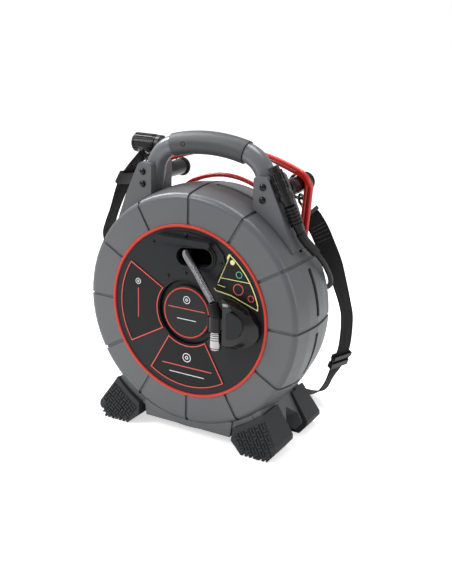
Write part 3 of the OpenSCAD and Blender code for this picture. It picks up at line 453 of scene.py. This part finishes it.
PIGTAIL_D = 7.0
RELIEF_R, RELIEF_POINTS = 5.8, 19
PIGTAIL_ROUTE = [(129, 111.5, 4), (132, 105, 1), (136, 97, -4.5), (140, 89, -12),
                 (143, 81, -20), (145.5, 71, -30), (147, 58, -42), (147, 44, -54),
                 (143, 32, -64), (133, 24, -71), (117, 18, -73.5), (100, 11, -73.5),
                 (86, 4.5, -70), (76, 1, -62), (67, 0, GLAND_Z), (58.3, 0, GLAND_Z)]
pigtail_line = even(smooth(PIGTAIL_ROUTE, 8), 2.0)
pigtail = curve_piece("pigtail_cable", pigtail_line, PIGTAIL_D / 2, RUBBER)
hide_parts("pigtail")
relief = curve_piece("pigtail_relief", pigtail_line[:RELIEF_POINTS], RELIEF_R, RUBBER)


# ---- The shoulder strap: one band of webbing ----

STRAP_W, STRAP_T = 25.0, 1.6
STRAP_ROUTE = [
    (-121.8, 176.8, -32), (-124, 172, -27.5), (-128.6, 164.5, -23), (-133.8, 156, -19.5),
    (-139.8, 145.5, -17.5), (-148.5, 128, -18.5), (-160.5, 103, -21.5), (-172, 81, -25.5),
    (-184, 60, -35), (-190, 40, -48), (-186, 8, -66), (-172, -30, -86), (-152, -70, -105),
    (-128, -104, -122), (-102, -136, -136), (-74, -158, -147), (-44, -168, -154),
    (-12, -169.8, -158), (22, -169.8, -159), (56, -169, -156), (88, -163, -147),
    (112, -147, -128), (130, -121, -113), (144.5, -90, -106), (153.5, -61.2, -102),
    (156.2, -24, -98), (152.7, 0.8, -95), (143.1, 35.4, -90), (136.9, 55.9, -85),
    (128, 77.2, -80), (119, 96.6, -77), (109.8, 109.5, -76.8), (103.2, 116.2, -76)]
STRAP_SIDES = [
    (0.15, 0.4, 0.9), (0.15, 0.4, 0.9), (0.14, 0.42, 0.9), (0.12, 0.44, 0.89),
    (0.08, 0.47, 0.88), (0.1, 0.48, 0.87), (0.2, 0.4, 0.89), (0.22, 0.39, 0.89),
    (0.25, 0.3, 0.92), (0.3, 0.1, 0.95), (0.3, 0.1, 0.95), (0.3, 0.1, 0.95), (0.35, 0, 1),
    (0.35, 0, 1), (0.35, 0, 1), (0.3, 0, 1), (0.15, 0, 1), (0.05, 0, 1), (0, 0, 1),
    (-0.1, 0, 1), (-0.2, 0.12, 0.95), (0, 0.22, 0.96), (0.1, 0.28, 0.94),
    (-0.27, 0.22, 0.94), (-0.27, 0.22, 0.94), (-0.27, 0.22, 0.94), (-0.27, 0.22, 0.94),
    (-0.45, 0.1, 0.88), (-0.6, 0.1, 0.75), (-0.75, 0, 0.6), (-0.87, 0, 0.49),
    (-0.87, 0, 0.49), (-0.87, 0, 0.49)]
strap_line = smooth(STRAP_ROUTE, 8)
strap_across = smooth(STRAP_SIDES, 8)
# Three shallow ribs run along the band between its two thicker edges
half, thick = STRAP_W / 2, STRAP_T / 2
face = [(-half, 0.3), (-half + 0.5, 0.95), (-half + 2, 1.0), (-half + 3, 0.75), (-5, 0.75),
        (-4, 0.95), (-2.5, 0.75), (-1, 0.95), (1, 0.95), (2.5, 0.75), (4, 0.95), (5, 0.75),
        (half - 3, 0.75), (half - 2, 1.0), (half - 0.5, 0.95), (half, 0.3)]
band = [(x, thick * y) for x, y in face] + [(x, -thick * y) for x, y in reversed(face)]
strap = mesh_piece("shoulder_strap", *swept(strap_line, strap_across, band), WEBBING)
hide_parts("strap")


def stitches():
    """Bar tacks that close the strap's loops, as rows of short raised threads."""
    verts, faces = [], []
    rows, spans, margin = 5, 8, 3
    long, half_wide, high, raised = 1.9, 0.45, 0.28, 0.12
    for first in (10, len(strap_line) - 22):
        for row in range(rows):
            i = first + row * 2
            t = heading(strap_line, i)
            a = across(strap_across[i], t)
            n = a.cross(t)
            for k in range(spans):
                x0 = -half + margin + (STRAP_W - 2 * margin) * k / spans
                for face_side in (1, -1):
                    centre = strap_line[i] + n * face_side * (thick + raised)
                    ends = [centre + a * x0, centre + a * (x0 + long)]
                    wide, tall = t * half_wide, n * face_side * high
                    base = len(verts)
                    for e in ends:
                        verts += [place(e - wide), place(e + tall), place(e + wide),
                                  place(e - tall)]
                    faces += [(base, base + 1, base + 5, base + 4),
                              (base + 1, base + 2, base + 6, base + 5),
                              (base + 2, base + 3, base + 7, base + 6),
                              (base + 3, base, base + 4, base + 7),
                              (base + 3, base + 2, base + 1, base),
                              (base + 4, base + 5, base + 6, base + 7)]
    piece = mesh_piece("strap_stitches", verts, faces, THREAD)


stitches()


# ---- The push cable and the camera's spring ----

PUSH_D = 6.3
SPRING_D = 9.8
DRUM_R, DRUM_BACK = 98.0, -37.0
LEAD_ROUTE = [(-91, -26, 6), (-92, -8, 9), (-89, 14, 14), (-82, 35, 20), (-70, 53, 27),
              (-53, 67, 32), (-36, 74, 35), (-20, 77, 37), (-10, 77.4, 38.6), (-6, 77.2, 41.2)]
SPRING_ROUTE = [(-5, 77, 43), (-2.5, 76.5, 50), (5, 72, 56.5), (16.5, 62.5, 60.8),
                (27, 51.5, 64), (36, 41, 66.4), (42.6, 33.6, 67.6), (46.6, 28, 68)]
lead = curve_piece("push_cable_run", even(smooth(LEAD_ROUTE, 8), 2.0), PUSH_D / 2, CABLE)
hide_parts("push_cable_lead")


def wound_push_cable():
    """All the stored cable, layer on layer, in one line round the drum."""
    layers, turns, steps = 4, 8.5, 60
    inner, back, pitch, rise = DRUM_R + PUSH_D / 2, DRUM_BACK + PUSH_D / 2, 6.31, 6.8
    points = []
    for layer in range(layers):
        for k in range(int(turns * steps)):
            angle = 2 * math.pi * (k / steps + layer * turns)
            along = pitch * k / steps if layer % 2 == 0 else pitch * (turns - k / steps)
            # Over its last half turn a layer climbs on to the next one
            lift = max(0.0, (k / steps - (turns - 0.5)) * 2) if layer < layers - 1 else 0.0
            r = inner + rise * (layer + lift)
            points.append(Vector((r * math.cos(angle), r * math.sin(angle), back + along)))
    return points


wound = wound_push_cable()
winding = mesh_piece("push_cable_winding",
                     *swept(wound, carried(wound, (1, 0, 0)), ring_outline(PUSH_D / 2, 10)),
                     CABLE, "drum")
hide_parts("push_cable_coil")


def spring():
    """A closely wound wire round a core, swept along the spring's route."""
    line = even(smooth(SPRING_ROUTE, 10), 0.1)
    wire, pitch, per_turn = 0.62, 1.32, 18
    total = length_of(line)
    count = round(total / pitch) * per_turn
    sides = carried(line, (0, 0, 1))
    coil = []
    radius = SPRING_D / 2 - wire
    for k in range(count + 1):
        at = k / count * (len(line) - 1)
        i = min(int(at), len(line) - 2)
        p = line[i].lerp(line[i + 1], at - i)
        t = heading(line, i)
        b = sides[i].cross(t)
        angle = 2 * math.pi * k / per_turn
        coil.append(p + (sides[i] * math.cos(angle) + b * math.sin(angle)) * radius)
    verts, faces = swept(coil, carried(coil, (0, 0, 1)), ring_outline(wire, 8))
    piece = mesh_piece("camera_spring_wire", verts, faces, SPRING_STEEL)
    core = even(smooth(SPRING_ROUTE, 10), 1.0)
    inner = curve_piece("camera_spring_core", core, radius - 0.2, CABLE)
    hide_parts("camera_spring")


spring()


# ---- Marks on the labels: plain rules, dots and rings ----

def flat_marks(name, shapes, low, high, finish, slot, body="case"):
    verts, faces = [], []
    for outline in shapes:
        prism(verts, faces, outline, low, high)
    piece = mesh_piece(name, verts, faces, finish, body, rounded=False)


def line_mark(a, b, width):
    a, b = Vector(a), Vector(b)
    along = (b - a).normalized()
    n = Vector((-along.y, along.x)) * width / 2
    return [a + n, a - n, b - n, b + n]


def disc_mark(centre, r, count=32):
    return arc(centre, r, 0, 2 * math.pi * (count - 1) / count, count - 1)


def ring_mark(name, rings, low, high, finish, slot, body="case"):
    """Flat rings, each a centre, a radius and a width."""
    verts, faces, n = [], [], 40
    for centre, r, width in rings:
        start = len(verts)
        for z in (low, high):
            for radius in (r - width / 2, r + width / 2):
                verts += [place((*q, z)) for q in disc_mark(centre, radius, n)]
        for k in range(n):
            m = (k + 1) % n
            inner_low, outer_low, inner_high, outer_high = (start + j * n for j in range(4))
            faces += [(outer_low + k, outer_low + m, outer_high + m, outer_high + k),
                      (inner_low + m, inner_low + k, inner_high + k, inner_high + m),
                      (inner_high + k, outer_high + k, outer_high + m, inner_high + m),
                      (inner_low + m, outer_low + m, outer_low + k, inner_low + k)]
    piece = mesh_piece(name, verts, faces, finish, body, rounded=False)


# The back and front of a mark, on the labels and on the hub's cap
LABEL_Z = (FRONT_Z + 0.45, FRONT_Z + 0.62)
CAP_Z = (FRONT_Z + 1.75, FRONT_Z + 1.95)
flat_marks("rule_hub", [line_mark((-27, 5), (27, 5), 1.1)], *CAP_Z, RED_INK, "label_red", "drum")
flat_marks("rule_hub_pale", [line_mark((-14, -9), (14, -9), 0.9)], *CAP_Z, PALE_INK,
           "label_yellow", "drum")
ring_mark("lens_mark_hub", [((0, 17), 4.6, 0.9), ((0, 17), 1.5, 0.9)], *CAP_Z, PALE_INK,
          "label_yellow", "drum")
flat_marks("rule_bottom", [line_mark((-37, -74), (37, -74), 1.3)], *LABEL_Z, RED_INK,
           "label_red")
flat_marks("rule_bottom_pale", [line_mark((-26, -84), (26, -84), 1.0)], *LABEL_Z, PALE_INK,
           "label_yellow")
ring_mark("lens_mark_bottom", [((0, -61), 5.6, 1.1), ((0, -61), 1.9, 1.1)], *LABEL_Z, PALE_INK,
          "label_yellow")
flat_marks("rule_left", [line_mark((-74, 20), (-74, -20), 1.1)], *LABEL_Z, RED_INK,
           "label_red")
ring_mark("lens_mark_left", [((-74, 29), 3.6, 0.8), ((-74, 29), 1.2, 0.8)], *LABEL_Z,
          PALE_INK, "label_yellow")
flat_marks("corner_dividers", [line_mark((60.3, 85.4), (44, 47), 0.8),
                               line_mark((47, 54), (87, 53.5), 0.8),
                               line_mark((43, 44.5), (54, 43), 0.7)],
           *LABEL_Z, YELLOW_INK, "label_yellow")
flat_marks("corner_disc", [disc_mark((63.2, 75.6), 3.2)], *LABEL_Z, YELLOW_INK, "label_yellow")
ring_mark("corner_ring_green", [((72.5, 61.5), 3.9, 0.9)], *LABEL_Z, GREEN_INK, "label_yellow")
ring_mark("corner_rings_red", [((72, 43), 6.6, 1.1), ((89.5, 34.5), 3.8, 0.9)], *LABEL_Z,
          RED_INK, "label_red")


# ---- Basket-weave tread on the boots' toe faces ----

BOOT_OUTLINE = [(72, -137), (84, -124), (107, -108.5), (134.5, -151), (134.5, -157),
                (124, -171), (87, -171), (70.5, -156)]
BOOT_LEAN = math.tan(math.radians(10.5))
BOOT_TOP_Y = -110.0
TREAD_C = (104, -142)
CASE_CLEAR_R = 157.5


def inside(point, outline, margin):
    """True where a point is within an outline by a margin, all round."""
    x, y = point
    n, hit, near = len(outline), False, math.inf
    for k in range(n):
        (x0, y0), (x1, y1) = outline[k], outline[(k + 1) % n]
        if (y0 > y) != (y1 > y) and x < (x1 - x0) * (y - y0) / (y1 - y0) + x0:
            hit = not hit
        a, b, p = Vector((x0, y0)), Vector((x1, y1)), Vector((x, y))
        t = max(0, min(1, (p - a).dot(b - a) / (b - a).length_squared))
        near = min(near, (p - a.lerp(b, t)).length)
    return hit and near > margin


def tread(name, toe_z, facing):
    """Pairs of short bars, each pair square to its neighbours, on both boots at one end."""
    verts, faces = [], []
    cell, cells, bars, gap, height = 8.0, 9, 2, 1.25, 1.9
    slant = math.radians(33)
    for side in (1, -1):
        def at(x, y, h, side=side):
            z = toe_z + (BOOT_TOP_Y - y) * BOOT_LEAN + h
            return place((x * side, y, z * facing))
        for row in range(-cells, cells + 1):
            for column in range(-cells, cells + 1):
                u, v = column * cell, row * cell
                cx = TREAD_C[0] + u * math.cos(slant) - v * math.sin(slant)
                cy = TREAD_C[1] + u * math.sin(slant) + v * math.cos(slant)
                if not inside((cx, cy), BOOT_OUTLINE, cell * 0.55):
                    continue
                if math.hypot(cx, cy) < CASE_CLEAR_R + cell * 0.7:
                    continue
                angle = slant + (math.pi / 2 if (row + column) % 2 else 0)
                along = Vector((math.cos(angle), math.sin(angle)))
                over = Vector((-along.y, along.x))
                width = (cell - gap * bars) / bars
                for bar in range(bars):
                    mid = Vector((cx, cy)) + over * (bar - (bars - 1) / 2) * (width + gap)
                    ends = along * (cell - gap) / 2
                    low, top = over * width / 2, over * width * 0.3
                    base = len(verts)
                    # A foot sunk in the toe face, a shoulder and a narrower top
                    for reach, wide, h in ((1, low, -0.3), (0.94, low, height * 0.55),
                                           (0.84, top, height)):
                        corners = [mid - ends * reach - wide, mid + ends * reach - wide,
                                   mid + ends * reach + wide, mid - ends * reach + wide]
                        verts += [at(q.x, q.y, h) for q in corners]
                    for lift in (0, 4):
                        faces += [(base + lift + k, base + lift + (k + 1) % 4,
                                   base + lift + 4 + (k + 1) % 4, base + lift + 4 + k)
                                  for k in range(4)]
                    faces += [tuple(base + 8 + k for k in range(4)),
                              tuple(base + k for k in (3, 2, 1, 0))]
    piece = mesh_piece(name, verts, faces, BOOT, rounded=False)
    fix_normals(piece)


tread("front_boot_tread", 48.5, 1)
tread("rear_boot_tread", 68.0, -1)


# ---- Painted shade: black sheets in the backs of the slots on the parting line ----

def slot_shade_sheets():
    # The slots are recesses; these black sheets paint the shade that falls in their depth
    verts, faces = [], []
    r0, r1, half_w = 154.2, 154.8, 3.7
    slots, span, steps = 12, 21.6, 14
    for i in range(slots):
        first = len(verts)
        for k in range(steps + 1):
            angle = math.radians((i + 0.5) * 360 / slots - span / 2 + span * k / steps)
            for r, z in ((r0, -half_w), (r1, -half_w), (r1, half_w), (r0, half_w)):
                verts.append(place((r * math.cos(angle), r * math.sin(angle), z)))
        faces += [(first + 4 * k + j, first + 4 * k + (j + 1) % 4,
                   first + 4 * (k + 1) + (j + 1) % 4, first + 4 * (k + 1) + j)
                  for k in range(steps) for j in range(4)]
        last = first + 4 * steps
        faces += [(first, first + 3, first + 2, first + 1), (last, last + 1, last + 2, last + 3)]
    piece = mesh_piece("parting_slot_painted_shade", verts, faces, RUBBER, rounded=False)
    fix_normals(piece)


slot_shade_sheets()


# ---- Turned rubber: the plug in the grip, and dark rings on the camera head whose black paints the shade in its grooves ----

def turned(name, centre, axis, profile, count=36):
    """A profile of (radius, height) turned about an axis, in the CAD's frame."""
    axis = Vector(axis).normalized()
    a = across(Vector((0, 1, 0.01)), axis)
    b = axis.cross(a)
    verts, faces = [], []
    for r, h in profile:
        for k in range(count):
            angle = 2 * math.pi * k / count
            verts.append(place(Vector(centre) + axis * h
                               + (a * math.cos(angle) + b * math.sin(angle)) * r))
    for j in range(len(profile) - 1):
        for k in range(count):
            m = (k + 1) % count
            faces.append((j * count + k, j * count + m, (j + 1) * count + m,
                          (j + 1) * count + k))
    faces += [tuple(range(count - 1, -1, -1)),
              tuple((len(profile) - 1) * count + k for k in range(count))]
    piece = mesh_piece(name, verts, faces, RUBBER)
    fix_normals(piece)


PLUG_PLACE, PLUG_AXIS = (-31, 204.2, 13.6), (0, 0.05, 1)
PLUG_PROFILE = [(3.3, 0), (3.3, 1.0), (2.9, 1.3), (2.4, 1.25), (2.1, 0.7), (0.6, 0.7),
                (0.01, 0.75)]
HEAD_X, HEAD_Z = 52, 68
# Rings at the camera head's grooves: the grooves are real, and the rings' black is painted shade
# of the grooves
GROOVE_SHADE_HEIGHTS = (-12.4, -15.4, -18.4, -29.0)
GROOVE_SHADE_PROFILE = [(7.0, 0), (7.36, 0.15), (7.36, 1.0), (7.0, 1.15)]

turned("grip_plug", PLUG_PLACE, PLUG_AXIS, PLUG_PROFILE)
for number, y in enumerate(GROOVE_SHADE_HEIGHTS, 1):
    turned("head_groove_shade_%d" % number, (HEAD_X, y, HEAD_Z), (0, -1, 0), GROOVE_SHADE_PROFILE)


# ---- Floor, world and lights ----

def make_room():
    floor = bpy.data.meshes.new("floor")
    reach, drop = 60, 0.0003  # m; the drop keeps the floor out of the feet's plane
    floor.from_pydata([(-reach, -reach, 0), (reach, -reach, 0), (reach, reach, 0),
                       (-reach, reach, 0)], [], [(0, 1, 2, 3)])
    paper = material("pale_floor", (0.88, 0.88, 0.88), 0.9, specular=0.1)
    shader = paper.node_tree.nodes["Principled BSDF"]
    # The paper glows to the camera alone, so that it stays white away from the lights
    shader.inputs["Emission Color"].default_value = (0.6, 0.6, 0.6, 1)
    lit = paper.node_tree.nodes.new("ShaderNodeLightPath").outputs["Is Camera Ray"]
    paper.node_tree.links.new(lit, shader.inputs["Emission Strength"])
    floor.materials.append(paper)
    ground = bpy.data.objects.new("floor", floor)
    ground.location.z = -drop
    bpy.context.scene.collection.objects.link(ground)
    world = bpy.data.worlds.new("studio")
    bpy.context.scene.world = world
    world.use_nodes = True
    nodes, links = world.node_tree.nodes, world.node_tree.links
    soft = nodes["Background"]
    soft.inputs["Color"].default_value = (1, 1, 1, 1)
    soft.inputs["Strength"].default_value = 0.48
    seen = nodes.new("ShaderNodeBackground")
    seen.inputs["Color"].default_value = (1, 1, 1, 1)
    choice = nodes.new("ShaderNodeMixShader")
    links.new(nodes.new("ShaderNodeLightPath").outputs["Is Camera Ray"], choice.inputs[0])
    links.new(soft.outputs[0], choice.inputs[1])
    links.new(seen.outputs[0], choice.inputs[2])
    links.new(choice.outputs[0], nodes["World Output"].inputs["Surface"])


def softbox(name, location, target, size, power):
    data = bpy.data.lights.new(name, "AREA")
    data.shape = "RECTANGLE"
    data.size, data.size_y = size
    data.energy = power
    light = bpy.data.objects.new(name, data)
    light.location = location
    aim = Vector(target) - Vector(location)
    light.rotation_euler = aim.to_track_quat("-Z", "Y").to_euler()
    bpy.context.scene.collection.objects.link(light)


make_room()
softbox("key_left", (-0.9, -1.2, 1.3), (0, 0, 0.2), (0.7, 0.7), 18)
softbox("top_left", (-1.1, 0.2, 1.4), (0, 0, 0.25), (0.5, 1.1), 26)
softbox("top", (0.2, 0.3, 1.8), (0, 0, 0.2), (1.0, 0.6), 14)
softbox("right_edge", (1.8, 0.5, 0.7), (0, 0, 0.2), (0.3, 1.2), 7)
bpy.context.scene.view_settings.view_transform = "Standard"
